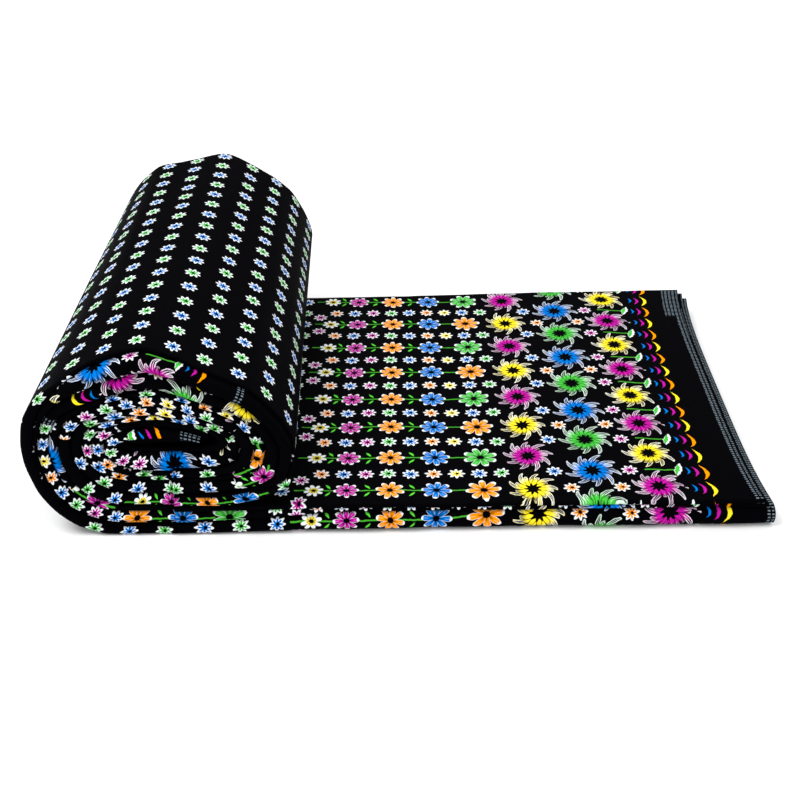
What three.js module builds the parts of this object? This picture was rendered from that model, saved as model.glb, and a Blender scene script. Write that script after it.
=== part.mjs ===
// A length of wax print cotton, folded in sixteen layers and wound up from one selvedge,
// left lying on its last stretch. Each stretch is three bundles of folds: outer, middle, inner.
// Units are millimetres. +X points to the free end, +Y to the back and +Z up.
import * as THREE from "three";

// Driving sizes
const ROLL_FRONT = -179;
const ROLL_BACK = 171.5;
const AXIS_TO_FREE_END = 425;
const SLIT_WIDTH = 62;
const SLIT_HEIGHT = 2.8;
const SLIT_MIDDLE_HEIGHT = 72.4;
const FOLD_GAP = 0.5;
const END_GAP = 0.5;

// How finely the surfaces are stepped
const STEP_DEGREES = 12;
const FOLD_END_STEPS = 6;
const LYING_STEPS = 14;
const LYING_ACROSS_STEPS = 8;
const LAST_STEP = 20;

// The outermost surface, in degrees wound from straight below the roll's axis, leftwards and up.
// x is measured from the axis, z from the ground. It ends on top of the lying stretch.
const OUTLINE = [
  { at: 0, frontX: 0, frontZ: 0, backX: 0, backZ: 0 },
  { at: 30, frontX: -52, frontZ: 0, backX: -46, backZ: 0 },
  { at: 60, frontX: -89, frontZ: 24, backX: -78, backZ: 26 },
  { at: 90, frontX: -103, frontZ: 71, backX: -89, backZ: 74 },
  { at: 120, frontX: -91.5, frontZ: 108.5, backX: -78, backZ: 117 },
  { at: 150, frontX: -54, frontZ: 133, backX: -50, backZ: 148 },
  { at: 180, frontX: -17, frontZ: 146, backX: -11, backZ: 157.5 },
  { at: 195, frontX: 4.5, frontZ: 140.5, backX: 10, backZ: 161.5 },
  { at: 210, frontX: 22, frontZ: 132, backX: 31, backZ: 152.5 },
  { at: 240, frontX: 60, frontZ: 111, backX: 65, backZ: 128 },
  { at: 270, frontX: 85.5, frontZ: 76, backX: 84.5, backZ: 87 },
  { at: 285, frontX: 85.5, frontZ: 57, backX: 79, backZ: 63 },
  { at: 300, frontX: 80, frontZ: 39, backX: 75, backZ: 42 },
  { at: 330, frontX: 48, frontZ: 26, backX: 48, backZ: 26 },
  { at: 360, frontX: 0, frontZ: 23.7, backX: 0, backZ: 23.7 },
];

// How thick each bundle of folds is along the winding
const THICKNESS = [
  { at: 0, outer: 8, middle: 12, inner: 3.7 },
  { at: 90, outer: 10.5, middle: 7, inner: 6.5 },
  { at: 180, outer: 16, middle: 14, inner: 3 },
  { at: 270, outer: 10, middle: 9, inner: 8 },
  { at: 360, outer: 9.5, middle: 10.5, inner: 3.6 },
  { at: 450, outer: 7.5, middle: 7, inner: 7 },
  { at: 540, outer: 10, middle: 7.5, inner: 3.5 },
  { at: 630, outer: 8, middle: 8, inner: 8 },
  { at: 720, outer: 3.7, middle: 16.5, inner: 3.5 },
  { at: 810, outer: 8, middle: 8, inner: 6 },
  { at: 900, outer: 7, middle: 6.5, inner: 6.5 },
  { at: 990, outer: 0, middle: 0, inner: 0 },
];
const LYING_THICKNESS = { outer: 16.7, middle: 3.5, inner: 3.5 };
const SPREAD_FROM_AXIS = 130;

// Where the front and back folds of the lying stretch run, by distance from the axis
const LYING_EDGES = [
  { at: 0, front: -179, back: 171.5 },
  { at: 80, front: -177.5, back: 166 },
  { at: 240, front: -175, back: 173 },
  { at: 430, front: -173, back: 181 },
];
// Each layer ends a little short of the one below, and the corners of the free end reach out.
const LYING_ENDS = { outer: 0, middle: 4.5, inner: 9 };
const CORNER_REACH = 6;

const FOLDS = ["outer", "middle", "inner"];
const FULL_TURN = 360;
const TURNS = 3;

// Each stretch: where its three bundles start and stop, and how far their folds are set back
const STRETCHES = [
  { name: "outer_turn", from: 0, outer: 360, middle: 360, inner: 360, setBack: [0, 1.5, 3] },
  { name: "second_turn", from: 360, outer: 720, middle: 720, inner: 720, setBack: [2, 3.5, 5] },
  { name: "core_turn", from: 720, outer: 950, middle: 942, inner: 934, setBack: [4.5, 1, 5.5] },
];
const LYING_SET_BACK = { outer: 0, middle: 1.5, inner: 0.6 };

const COTTON = { color: 0x0b0b10, roughness: 0.62, metalness: 0 };

// The smooth curve through a table's column, at any wound angle.
function readTable(table, column, wound) {
  const last = table.length - 1;
  const inside = THREE.MathUtils.clamp(wound, table[0].at, table[last].at);
  let index = 0;
  while (index < last - 1 && table[index + 1].at < inside) index += 1;
  const before = table[index];
  const after = table[index + 1];
  const span = after.at - before.at;
  const slope = (k) => {
    const low = table[Math.max(k - 1, 0)];
    const high = table[Math.min(k + 1, last)];
    return (high[column] - low[column]) / (high.at - low.at);
  };
  const t = (inside - before.at) / span;
  const rise = after[column] - before[column];
  const startBend = slope(index) * span - rise;
  const endBend = rise - slope(index + 1) * span;
  return before[column] + rise * t + t * (1 - t) * (startBend * (1 - t) + endBend * t);
}

// All the thickness that lies outside one bundle and all that lies from skin to slit
function depthOf(fold, wound) {
  const angle = wound % FULL_TURN;
  const turn = Math.floor(wound / FULL_TURN);
  let outside = 0;
  let total = 0;
  for (let n = 0; n < TURNS; n += 1) {
    for (const other of FOLDS) {
      const thickness = Math.max(readTable(THICKNESS, other, angle + n * FULL_TURN), 0);
      const isOutside = n < turn || (n === turn && FOLDS.indexOf(other) < FOLDS.indexOf(fold));
      if (isOutside) outside += thickness;
      total += thickness;
    }
  }
  return { outside, own: Math.max(readTable(THICKNESS, fold, wound), 0), total };
}

// A point of the roll: wound angle, share of the depth from skin to slit, and y.
function rollPoint(angle, share, y) {
  const along = (y - ROLL_FRONT) / (ROLL_BACK - ROLL_FRONT);
  const read = (column) => readTable(OUTLINE, column, angle);
  const skinX = THREE.MathUtils.lerp(read("frontX"), read("backX"), along);
  const skinZ = THREE.MathUtils.lerp(read("frontZ"), read("backZ"), along);
  const radians = THREE.MathUtils.degToRad(angle);
  const slitX = -(SLIT_WIDTH / 2) * Math.sin(radians);
  const slitZ = SLIT_MIDDLE_HEIGHT - (SLIT_HEIGHT / 2) * Math.cos(radians);
  const x = THREE.MathUtils.lerp(skinX, slitX, share);
  const z = THREE.MathUtils.lerp(Math.max(skinZ, 0), slitZ, share);
  return new THREE.Vector3(x, y, z);
}

// The outline of a bundle across the cloth: two flat faces joined by a half round at each fold.
// Each entry is how far in it lies, 0 to 1, and its y.
function foldSection(thickness, front, back, acrossSteps) {
  const halfRound = thickness / 2;
  const section = [];
  for (const side of [-1, 1]) {
    const centre = side < 0 ? front + halfRound : back - halfRound;
    const opposite = side < 0 ? back - halfRound : front + halfRound;
    for (let k = 0; k <= FOLD_END_STEPS; k += 1) {
      const turned = (Math.PI * k) / FOLD_END_STEPS;
      const depth = (1 + side * Math.cos(turned)) / 2;
      section.push({ depth, y: centre + side * halfRound * Math.sin(turned) });
    }
    for (let k = 1; k < acrossSteps; k += 1) {
      const y = THREE.MathUtils.lerp(centre, opposite, k / acrossSteps);
      section.push({ depth: (1 - side) / 2, y });
    }
  }
  return section;
}

// One closed solid from rings of points, with flat ends. Its inner and outer faces are split
// along the same diagonals, so that bundles that lie on each other stay clear all over.
function solidThroughRings(rings) {
  const count = rings[0].length;
  const positions = rings.flat().flatMap((point) => [point.x, point.y, point.z]);
  const index = [];
  for (let i = 0; i < rings.length - 1; i += 1) {
    for (let k = 0; k < count; k += 1) {
      const here = i * count + k;
      const beside = i * count + ((k + 1) % count);
      if (k < count / 2) {
        index.push(here, beside, here + count);
        index.push(beside, beside + count, here + count);
      } else {
        index.push(here, beside, beside + count);
        index.push(here, beside + count, here + count);
      }
    }
  }
  const lastRing = (rings.length - 1) * count;
  for (let k = 1; k < count - 1; k += 1) {
    index.push(0, k + 1, k);
    index.push(lastRing, lastRing + k, lastRing + k + 1);
  }
  const geometry = new THREE.BufferGeometry();
  geometry.setAttribute("position", new THREE.Float32BufferAttribute(positions, 3));
  geometry.setIndex(index);
  geometry.computeVertexNormals();
  return geometry;
}

// A bundle wound about the axis, from one angle to another.
function woundBundle(fold, from, to, setBack) {
  const steps = Math.round((to - from) / STEP_DEGREES);
  const rings = [];
  for (let i = 0; i <= steps; i += 1) {
    const isFirst = i === 0;
    const isLast = i === steps;
    const kept = from + ((to - from) * i) / steps;
    const wound = kept + (isFirst ? END_GAP / 2 : 0) - (isLast ? END_GAP * 2 : 0);
    const { outside, own, total } = depthOf(fold, wound);
    const section = foldSection(own - FOLD_GAP, ROLL_FRONT + setBack, ROLL_BACK - setBack, 1);
    const shareOf = (depth) => (outside + depth * (own - FOLD_GAP)) / total;
    rings.push(section.map(({ depth, y }) => rollPoint(wound % FULL_TURN, shareOf(depth), y)));
  }
  return solidThroughRings(rings);
}

// How far from the axis the free end of a layer lies at y, with its corners reaching out.
function freeEndAt(fold, y) {
  const across = Math.abs(y) / ROLL_BACK;
  return AXIS_TO_FREE_END - LYING_ENDS[fold] + CORNER_REACH * across ** 4;
}

// A bundle of the lying stretch, from the free end to straight below the axis.
function lyingBundle(fold) {
  const rings = [];
  for (let i = LYING_STEPS; i >= 0; i -= 1) {
    const evenly = i / LYING_STEPS;
    const x = END_GAP + (AXIS_TO_FREE_END - LAST_STEP) * evenly ** 2;
    const spread = THREE.MathUtils.smoothstep(x, 0, SPREAD_FROM_AXIS);
    const thicknessOf = (name) =>
      THREE.MathUtils.lerp(THICKNESS[0][name], LYING_THICKNESS[name], spread);
    let bottom = 0;
    for (const name of FOLDS.slice(0, FOLDS.indexOf(fold))) bottom += thicknessOf(name);
    const own = thicknessOf(fold) - FOLD_GAP;
    const front = readTable(LYING_EDGES, "front", x) + LYING_SET_BACK[fold];
    const back = readTable(LYING_EDGES, "back", x) - LYING_SET_BACK[fold];
    const section = foldSection(own, front, back, LYING_ACROSS_STEPS);
    const pointOf = ({ depth, y }) => {
      const reached = i === LYING_STEPS ? freeEndAt(fold, y) : x;
      return new THREE.Vector3(reached, y, bottom + depth * own);
    };
    rings.push(section.map(pointOf));
  }
  return solidThroughRings(rings);
}

function clothMesh(name, geometry) {
  const mesh = new THREE.Mesh(geometry, new THREE.MeshStandardMaterial(COTTON));
  mesh.name = name;
  return mesh;
}

const fabric = new THREE.Group();
for (const fold of FOLDS) {
  fabric.add(clothMesh(`lying_${fold}_folds`, lyingBundle(fold)));
}
for (const stretch of STRETCHES) {
  FOLDS.forEach((fold, k) => {
    const geometry = woundBundle(fold, stretch.from, stretch[fold], stretch.setBack[k]);
    fabric.add(clothMesh(`${stretch.name}_${fold}_folds`, geometry));
  });
}

// The origin is the middle of the footprint, on the ground.
const size = new THREE.Box3().setFromObject(fabric);
const middle = size.getCenter(new THREE.Vector3());
fabric.position.set(-middle.x, -middle.y, -size.min.z);

export default fabric;
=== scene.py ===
"""A length of black floral wax print cotton, folded in layers and wound up from one selvedge.

Every bundle of folds is a thin shell of cloth on its solid's form. The print is drawn by formula
from the cloth's own coordinates: u runs from the near selvedge, v along the length of the cloth.
"""
import math
from collections import namedtuple

import bpy
import numpy as np
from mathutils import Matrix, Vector


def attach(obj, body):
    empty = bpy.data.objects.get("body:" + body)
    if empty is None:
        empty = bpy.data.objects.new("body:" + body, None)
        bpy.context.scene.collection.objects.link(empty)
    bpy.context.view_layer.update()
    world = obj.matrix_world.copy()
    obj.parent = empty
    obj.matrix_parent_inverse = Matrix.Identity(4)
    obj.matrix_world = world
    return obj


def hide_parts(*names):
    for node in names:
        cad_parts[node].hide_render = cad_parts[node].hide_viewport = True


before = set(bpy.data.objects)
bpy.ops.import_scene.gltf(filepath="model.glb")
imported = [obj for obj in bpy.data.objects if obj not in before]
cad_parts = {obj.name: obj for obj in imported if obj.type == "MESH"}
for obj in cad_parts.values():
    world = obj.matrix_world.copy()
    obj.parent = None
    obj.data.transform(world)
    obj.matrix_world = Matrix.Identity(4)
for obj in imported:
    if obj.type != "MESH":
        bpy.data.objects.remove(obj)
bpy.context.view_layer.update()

MM = 0.001

# The bundle, in millimetres, with x measured from the roll's axis, and where the frame has it
AXIS_X = -164.87
SHIFT_Y = -0.485
ROLL_FRONT, ROLL_BACK = -179.0, 171.5
AXIS_TO_FREE_END = 425.0
SLIT_WIDTH, SLIT_HEIGHT, SLIT_MIDDLE_HEIGHT = 62.0, 2.8, 72.4
CLOTH_THICKNESS = 0.45
BUNDLE_GAP = 0.25
FULL_TURN = 360.0
FOLDS = ("outer", "middle", "inner")

# The free end's corners: how far they reach out, and from which x the end bends
CORNER_REACH, CORNER_FROM = 6.0, 330.0

# Skin of the roll by degrees wound from straight below the axis: front x, z and back x, z
OUTLINE = np.array([
    (0, 0, 0, 0, 0),
    (30, -52, 0, -46, 0),
    (60, -89, 24, -78, 26),
    (90, -103, 71, -89, 74),
    (120, -91.5, 108.5, -78, 117),
    (150, -54, 133, -50, 148),
    (180, -17, 146, -11, 157.5),
    (195, 4.5, 140.5, 10, 161.5),
    (210, 22, 132, 31, 152.5),
    (240, 60, 111, 65, 128),
    (270, 85.5, 76, 84.5, 87),
    (285, 85.5, 57, 79, 63),
    (300, 80, 39, 75, 42),
    (330, 48, 26, 48, 26),
    (360, 0, 23.7, 0, 23.7),
])

# Thickness of the bundles by degrees wound: outer, middle, inner
THICKNESS = np.array([
    (0, 8, 12, 3.7),
    (90, 10.5, 7, 6.5),
    (180, 16, 14, 3),
    (270, 10, 9, 8),
    (360, 9.5, 10.5, 3.6),
    (450, 7.5, 7, 7),
    (540, 10, 7.5, 3.5),
    (630, 8, 8, 8),
    (720, 3.7, 16.5, 3.5),
    (810, 8, 8, 6),
    (900, 7, 6.5, 6.5),
    (990, 0, 0, 0),
])
LYING_THICKNESS = {"outer": 16.7, "middle": 3.5, "inner": 3.5}
LYING_HEIGHT = sum(LYING_THICKNESS.values())
SPREAD_FROM_AXIS = 130.0

# Fold lines of the lying stretch by distance from the axis: front y, back y
LYING_EDGES = np.array([
    (0, -179, 171.5),
    (80, -177.5, 166),
    (240, -175, 173),
    (430, -173, 181),
])
LYING_ENDS = {"outer": 0.0, "middle": 4.5, "inner": 9.0}
LYING_SET_BACK = {"outer": 0.0, "middle": 1.5, "inner": 0.6}


def read_table(table, column, at):
    """Cubic through a table's column: each row's slope is that of the chord between its neighbours."""
    key, value = table[:, 0], table[:, column]
    low = np.maximum(np.arange(len(key)) - 1, 0)
    high = np.minimum(np.arange(len(key)) + 1, len(key) - 1)
    slope = (value[high] - value[low]) / (key[high] - key[low])
    inside = np.clip(at, key[0], key[-1])
    k = np.clip(np.searchsorted(key, inside, side="left") - 1, 0, len(key) - 2)
    span = key[k + 1] - key[k]
    t = (inside - key[k]) / span
    rise = value[k + 1] - value[k]
    start_bend = slope[k] * span - rise
    end_bend = rise - slope[k + 1] * span
    return value[k] + rise * t + t * (1 - t) * (start_bend * (1 - t) + end_bend * t)


def smooth_step(x, low, high):
    """0 below low, 1 above high, and 3t^2 - 2t^3 between."""
    t = np.clip((x - low) / (high - low), 0, 1)
    return t * t * (3 - 2 * t)


def depth_of(fold, wound):
    """Thickness outside a bundle, its own, and all of it from the skin to the slit: sums of the
    table's columns over the turns that pass at that angle."""
    turn = np.floor(wound / FULL_TURN)
    angle = wound - turn * FULL_TURN
    outside = np.zeros_like(wound)
    total = np.zeros_like(wound)
    for n in range(3):
        for k in range(len(FOLDS)):
            thickness = np.maximum(read_table(THICKNESS, k + 1, angle + n * FULL_TURN), 0)
            is_outside = (n < turn) | ((n == turn) & (k < FOLDS.index(fold)))
            outside += np.where(is_outside, thickness, 0)
            total += thickness
    own = np.maximum(read_table(THICKNESS, FOLDS.index(fold) + 1, wound), 0)
    return outside, own, total


def roll_point(wound, share, y):
    """Straight line from the skin (share 0) to the slit (share 1), at a wound angle and a y."""
    angle = wound - np.floor(wound / FULL_TURN) * FULL_TURN
    along = (y - ROLL_FRONT) / (ROLL_BACK - ROLL_FRONT)
    skin_x = (1 - along) * read_table(OUTLINE, 1, angle) + along * read_table(OUTLINE, 3, angle)
    skin_z = (1 - along) * read_table(OUTLINE, 2, angle) + along * read_table(OUTLINE, 4, angle)
    slit_x = -(SLIT_WIDTH / 2) * np.sin(np.radians(angle))
    slit_z = SLIT_MIDDLE_HEIGHT - (SLIT_HEIGHT / 2) * np.cos(np.radians(angle))
    x = skin_x + share * (slit_x - skin_x)
    z = np.maximum(skin_z, 0) + share * (slit_z - np.maximum(skin_z, 0))
    return x, z


# Steps round each fold, and across a face that shows or is hidden, and mm from row to row
ROUND_STEPS = 14
SHOWN_STEPS = 92
HIDDEN_STEPS = 22
ROLL_SPACING = 4.2
LYING_SPACING = 4.4
# The smallest thickness of a bundle, and radius of a fold's inner wall
LEAST_THICKNESS, LEAST_RADIUS = 0.3, 0.03


def path_round(printed, face_steps):
    """The path once round a bundle, as arrays (side, turn, slide) of its points, with the number
    of the point in the middle of the printed face.

    side is -1 at the front and 1 at the back, turn the angle round the fold, 0 on the outer face
    and pi on the inner one, and slide how far towards the other side, 0 to 1. The path starts and
    ends in the middle of the hidden face, so the print's seam lies there.
    """
    shown, hidden = (0, np.pi) if printed == "outer" else (np.pi, 0)
    turns = np.linspace(hidden, shown, ROUND_STEPS + 1)
    to_front = np.linspace(0.5, 0, HIDDEN_STEPS // 2 + 1)[:-1]
    across = np.linspace(0, 1, face_steps + 1)[1:-1]
    from_back = np.linspace(0, 0.5, HIDDEN_STEPS // 2 + 1)[1:-1]
    parts = [
        (-1, np.full_like(to_front, hidden), to_front),
        (-1, turns, np.zeros_like(turns)),
        (-1, np.full_like(across, shown), across),
        (1, turns[::-1], np.zeros_like(turns)),
        (1, np.full_like(from_back, hidden), from_back),
    ]
    side = np.concatenate([np.full_like(slide, one) for one, turn, slide in parts])
    turn = np.concatenate([turn for one, turn, slide in parts])
    slide = np.concatenate([slide for one, turn, slide in parts])
    middle = len(to_front) + len(turns) + len(across) // 2
    return side, turn, slide, middle


def bundle_section(thickness, front, back, inset, path):
    """Depth and y round a bundle: half rounds of half its thickness, joined by its flat faces.

    depth = half - (half - inset) cos(turn) and y = centre + side (half - inset) sin(turn).
    """
    side, turn, slide, _ = path
    half = thickness[:, None] / 2
    front_centre = front[:, None] + half
    back_centre = back[:, None] - half
    centre = np.where(side < 0, front_centre, back_centre)
    opposite = np.where(side < 0, back_centre, front_centre)
    radius = np.maximum(half - inset, LEAST_RADIUS)
    depth = half - radius * np.cos(turn)
    y = centre + side * radius * np.sin(turn) + slide * (opposite - centre)
    return depth, y


def length_round(depth, y, middle):
    """Distance along the path, counted so that it equals y in the middle of the printed face."""
    step = np.hypot(np.diff(depth, axis=1), np.diff(y, axis=1))
    run = np.concatenate([np.zeros((len(y), 1)), np.cumsum(step, axis=1)], axis=1)
    return run - run[:, middle:middle + 1] + y[:, middle:middle + 1]


# Soft ridges (height above 0) and troughs of the roll.
# Columns: degrees wound, y, half width in degrees, half length in mm, height in mm, lean in
# degrees for each mm of y
ROLL_CREASES = np.array([
    (236, -120, 3.2, 90, 0.9, 0.010),
    (247, -60, 2.6, 120, -1.0, 0.006),
    (259, -90, 3.5, 150, 1.2, -0.008),
    (270, 20, 3.0, 140, -0.9, 0.004),
    (224, 70, 4.0, 80, -0.8, -0.012),
    (205, 110, 6.0, 60, 0.7, 0.030),
    (168, 120, 5.0, 70, -0.7, -0.020),
    (150, 40, 4.5, 110, 0.6, 0.008),
    (128, -40, 4.0, 150, -0.7, 0.006),
    (113, 60, 5.0, 110, 0.8, -0.010),
    (98, -100, 4.0, 70, -0.6, 0.012),
    (84, 90, 4.5, 80, 0.6, 0.010),
    (192, -30, 7.0, 90, 0.5, -0.020),
    (282, -60, 3.0, 110, 0.8, 0.006),
    (293, 70, 3.4, 90, -0.8, -0.006),
    (62, 30, 5.0, 100, -0.5, 0.004),
])

# Soft ridges and troughs of the lying stretch: x from the axis, y, half width, half length,
# height in mm, and turn in degrees from +Y
LYING_CREASES = np.array([
    (150, -120, 9, 60, 0.7, 12),
    (210, 60, 12, 90, -0.6, -8),
    (265, -60, 10, 80, 0.8, 5),
    (330, 90, 11, 70, -0.6, 16),
    (372, -110, 7, 55, 0.9, -14),
    (395, 40, 6, 80, -0.7, 6),
    (240, -150, 40, 7, 0.6, 84),
    (340, -140, 45, 6, -0.6, 95),
    (180, 140, 60, 8, 0.5, 88),
    (310, 20, 8, 60, 0.5, 30),
    (120, 20, 8, 110, -0.6, 3),
])
# The creases of the lying stretch fade in between these distances from the axis
CREASES_FROM, CREASES_FULL = 95.0, 135.0
# How far the puckers by a fold reach inwards, and how high they are
PUCKER_REACH, PUCKER_HEIGHT = 14.0, 0.16


def roll_relief(wound, y):
    """Sum of soft bumps: height exp(-(across / width)^2 - (along / length)^2) for each crease."""
    relief = np.zeros_like(y)
    angle = wound - np.floor(wound / FULL_TURN) * FULL_TURN
    for degrees, at_y, width, length, height, lean in ROLL_CREASES:
        along = y - at_y
        across = angle - degrees - lean * along
        relief += height * np.exp(-(across / width) ** 2 - (along / length) ** 2)
    return relief


def lying_relief(x, y):
    """The same sum on the lying stretch, each crease turned about its middle."""
    relief = np.zeros_like(y)
    for at_x, at_y, width, length, height, degrees in LYING_CREASES:
        cosine, sine = math.cos(math.radians(degrees)), math.sin(math.radians(degrees))
        across = (x - at_x) * cosine + (y - at_y) * sine
        along = (y - at_y) * cosine - (x - at_x) * sine
        relief += height * np.exp(-(across / width) ** 2 - (along / length) ** 2)
    return relief


def fold_drift(way, phase):
    """How far a fold line wanders, in mm: three waves of unlike length along the way, in mm."""
    return (0.55 * np.sin(way / 31.0 + phase) + 0.4 * np.sin(way / 13.7 + 2.1 * phase)
            + 0.25 * np.sin(way / 7.3 + 3.7 * phase))


def puckers(phase, way, y, front, back):
    """Small puckers of a bundle by its folds: two unlike waves along the way, times
    exp(-distance from the fold / reach)."""
    near = np.exp(-np.minimum(y - front[:, None], back[:, None] - y) / PUCKER_REACH)
    wave = np.sin(way / 5.1 + phase) + 0.7 * np.sin(way / 3.3 + 1.7 * phase)
    return PUCKER_HEIGHT * near * wave[:, None]


# The wound bundles: fold, from and to in degrees wound, how far the folds are set back in mm,
# and the phase of their drift
WOUND_BUNDLES = {
    "outer_turn_outer_folds": ("outer", 0, 360, 0.0, 0.3),
    "outer_turn_middle_folds": ("middle", 0, 360, 1.5, 1.9),
    "outer_turn_inner_folds": ("inner", 0, 360, 3.0, 4.2),
    "second_turn_outer_folds": ("outer", 360, 720, 2.0, 2.7),
    "second_turn_middle_folds": ("middle", 360, 720, 3.5, 5.1),
    "second_turn_inner_folds": ("inner", 360, 720, 5.0, 0.9),
    "core_turn_outer_folds": ("outer", 720, 950, 4.5, 3.4),
    "core_turn_middle_folds": ("middle", 720, 942, 1.0, 1.2),
    "core_turn_inner_folds": ("inner", 720, 934, 5.5, 5.8),
}
# The lying bundles: fold and the phase of its drift
LYING_BUNDLES = {
    "lying_outer_folds": ("outer", 0.3),
    "lying_middle_folds": ("middle", 2.6),
    "lying_inner_folds": ("inner", 4.4),
}
# The back folds wander out of step with the front ones
ROLL_BACK_LATER, LYING_BACK_PHASE = 2.0, 5.0
# The folds lie this far inside the solid's ends, so that their drift stays within it
ROLL_TUCK, LYING_TUCK = 0.9, 0.6
# The lying folds wander less than the wound ones
LYING_DRIFT = 0.7
# Each wound bundle starts and stops this many degrees inside its stretch of the spiral, and the
# lying ones start this far from the axis
TURN_MARGIN, LYING_START = 0.05, 0.1

# Layers that show inside the lying folds at the free end: inset and distance back from the end
END_LAYERS = {
    "lying_outer_folds": [(1.9, 1.2), (3.7, 0.2), (5.4, 1.9), (7.0, 0.9)],
    "lying_middle_folds": [(1.0, 0.8)],
    "lying_inner_folds": [(1.0, 1.3)],
}
END_LAYER_REACH = 45.0

# The outermost bundle's first layer: its share of the thickness low down and over the top, and
# how far its fold is set back over the top
SKIN_SHARE_LOW, SKIN_SHARE_TOP = 0.93, 0.23
SKIN_SET_BACK = 10.5

# Stretches of print on the wound bundles' front folds. Columns: way along the bundle where a
# stretch starts, a way and the u there, u for each mm of way, and the row of the print that
# runs along the fold. A row of FACE means the print lies straight on the outer face instead,
# and a u below 0 is plain black.
FACE = -1.0
BARE = -300.0
SKIN_PRINT = [
    (0, 8.5, 412.8, 1, 2.0),
    (74, 0, 368.9, 1, FACE),
    (450, 495.5, 260.8, 1.15, 2.0),
]
FOLD_PRINTS = {
    "outer_turn_outer_folds": [
        (0, 0, BARE, 0, 0),
        (193, 0, 347, -1, 1.55),
        (360, 0, BARE, 0, 0),
    ],
    "outer_turn_middle_folds": [
        (0, 27.5, 260.8, 1, 0.0),
        (36, 131.7, 197.0, -1.105, 1.0),
        (147, 148.4, -2, 1, 2.0),
        (197, 148.4, 0, 1, 2.5),
        (322, 0, BARE, 0, 0),
        (362, 377, 292.2, 1, 0.0),
        (394, 420, 388.2, 0.97, 2.0),
    ],
    "outer_turn_inner_folds": [
        (0, 0, BARE, 0, 0),
        (38, 54.6, 292.2, 1, 0.0),
        (74, 103, 113, 1, 1.3),
        (138, 0, BARE, 0, 0),
        (168, 204.9, 412.8, 1, 2.0),
        (242, 262, 213.3, -1, 1.0),
        (296, 312.8, 260.8, 1, 0.0),
        (336, 0, BARE, 0, 0),
    ],
    "second_turn_outer_folds": [
        (0, 0, 290.1, 1.15, 2.0),
        (66, 0, BARE, 0, 0),
        (112, 170.6, 246.0, -1.09, 1.0),
        (250, 0, BARE, 0, 0),
        (300, 318.8, 412.8, 1, 2.0),
    ],
    "second_turn_middle_folds": [
        (0, 25.7, 437.4, 1, 2.0),
        (80, 0, BARE, 0, 0),
        (110, 171.4, 213.3, -0.885, 1.0),
        (222, 289.9, 113, -1, 1.0),
    ],
    "second_turn_inner_folds": [
        (0, 121.9, 229.7, -0.97, 1.0),
        (186, 0, BARE, 0, 0),
    ],
    "core_turn_outer_folds": [
        (0, 63.5, 295.1, -1, 1.0),
        (90, 0, BARE, 0, 0),
    ],
    "core_turn_middle_folds": [
        (0, 0, 109.8, -1, 1.0),
        (31, 37.7, 278.7, -1.2, 1.0),
        (73, 129.7, 0, -1, -11.0),
    ],
    "core_turn_inner_folds": [
        (0, 0, BARE, 0, 0),
    ],
}

# How far the print lags on the lying outer and middle folds, by distance from the axis
LYING_LAG = np.array([
    (0, 20.5), (20, 16.5), (46, 15.4), (72, 14.0), (97, 12.5), (122, 11.0), (187, 11.0),
    (222, 8.1), (259, 6.3), (288, 4.8), (326, 4.4), (353, 4.1), (415, 0.0), (430, 0.0),
])
# How far the rows drift along y on the lying stretch's top
ROW_DRIFT = np.array([(0, 0), (200, 0), (257, 1.5), (348, 4.5), (387, -1.0), (430, 0)])
# The columns fan out a little towards the back, nearer the axis than FAN_TO and as far as
# FAN_REACH from there
FAN, FAN_TO, FAN_REACH = 0.000227, 221.0, 66.0
# The rows shift over the lip of the top's front fold, between two distances in front
LIP_SHIFT, LIP_FROM, LIP_TO = 4.5, 168.0, 176.0
# Rows along the front folds of the lying middle and outer bundles, and the outer one's change
MIDDLE_ROW = 1.25
OUTER_ROW, OUTER_ROW_CHANGE, CHANGE_FROM, CHANGE_TO = 2.1, 0.17, 180.0, 230.0
# The middle fold's print under the roll: as far as an x, its u at the axis, and its row
UNDER_MIDDLE_TO, UNDER_MIDDLE_U, UNDER_MIDDLE_ROW = 57.0, 233.3, 0.0
# The top is plain nearer the axis than this, under the roll
PLAIN_TO = 62.0

# Print layout in mm. Rows lie ROW_PITCH apart along v: row 0 is stem row A, row 1 the row with
# blue spiky flowers, row 2 stem row B and row 3 the one with green spiky flowers.
CLOTH_WIDTH = 1170.0
ROW_PITCH = 22.15
ROW_A_AT_Y = -112.4
# v on the roll's skin: at the middle, for each mm along it, and its bend
SKIN_V_MIDDLE, SKIN_V_SLOPE, SKIN_V_BEND = -11.1, 1.113, 0.00022
# Low on the left the skin's rows slip back by a third of a row: the ways between which that ends
SKIN_SLIP, SLIP_TO, SLIP_GONE = ROW_PITCH / 3, 172.0, 187.0


def fold_middle(path):
    """Index of the path's point in the middle of the front fold."""
    side, turn = path[:2]
    return int(np.argmin(np.abs(turn - np.pi / 2) + 9 * (side > 0)))


def rows_on_fold(length, path):
    """v that puts row 0 along the middle of the front fold: the length from there + row A's v."""
    middle = fold_middle(path)
    return length - length[:, middle:middle + 1] + ROW_A_AT_Y


def rows_on_face(way, length):
    """v on the roll's skin: middle + slope length + bend length^2, less the slip, so the rows
    draw closer together towards the back."""
    slip = SKIN_SLIP * (1 - smooth_step(way, SLIP_TO, SLIP_GONE))
    return SKIN_V_MIDDLE + SKIN_V_SLOPE * length + SKIN_V_BEND * length ** 2 - slip[:, None]


def both_ends(along):
    """A value for each row of quads at its first points and, one row on, at its last."""
    return along, np.concatenate([along[:1], along[:-1]])


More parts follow.
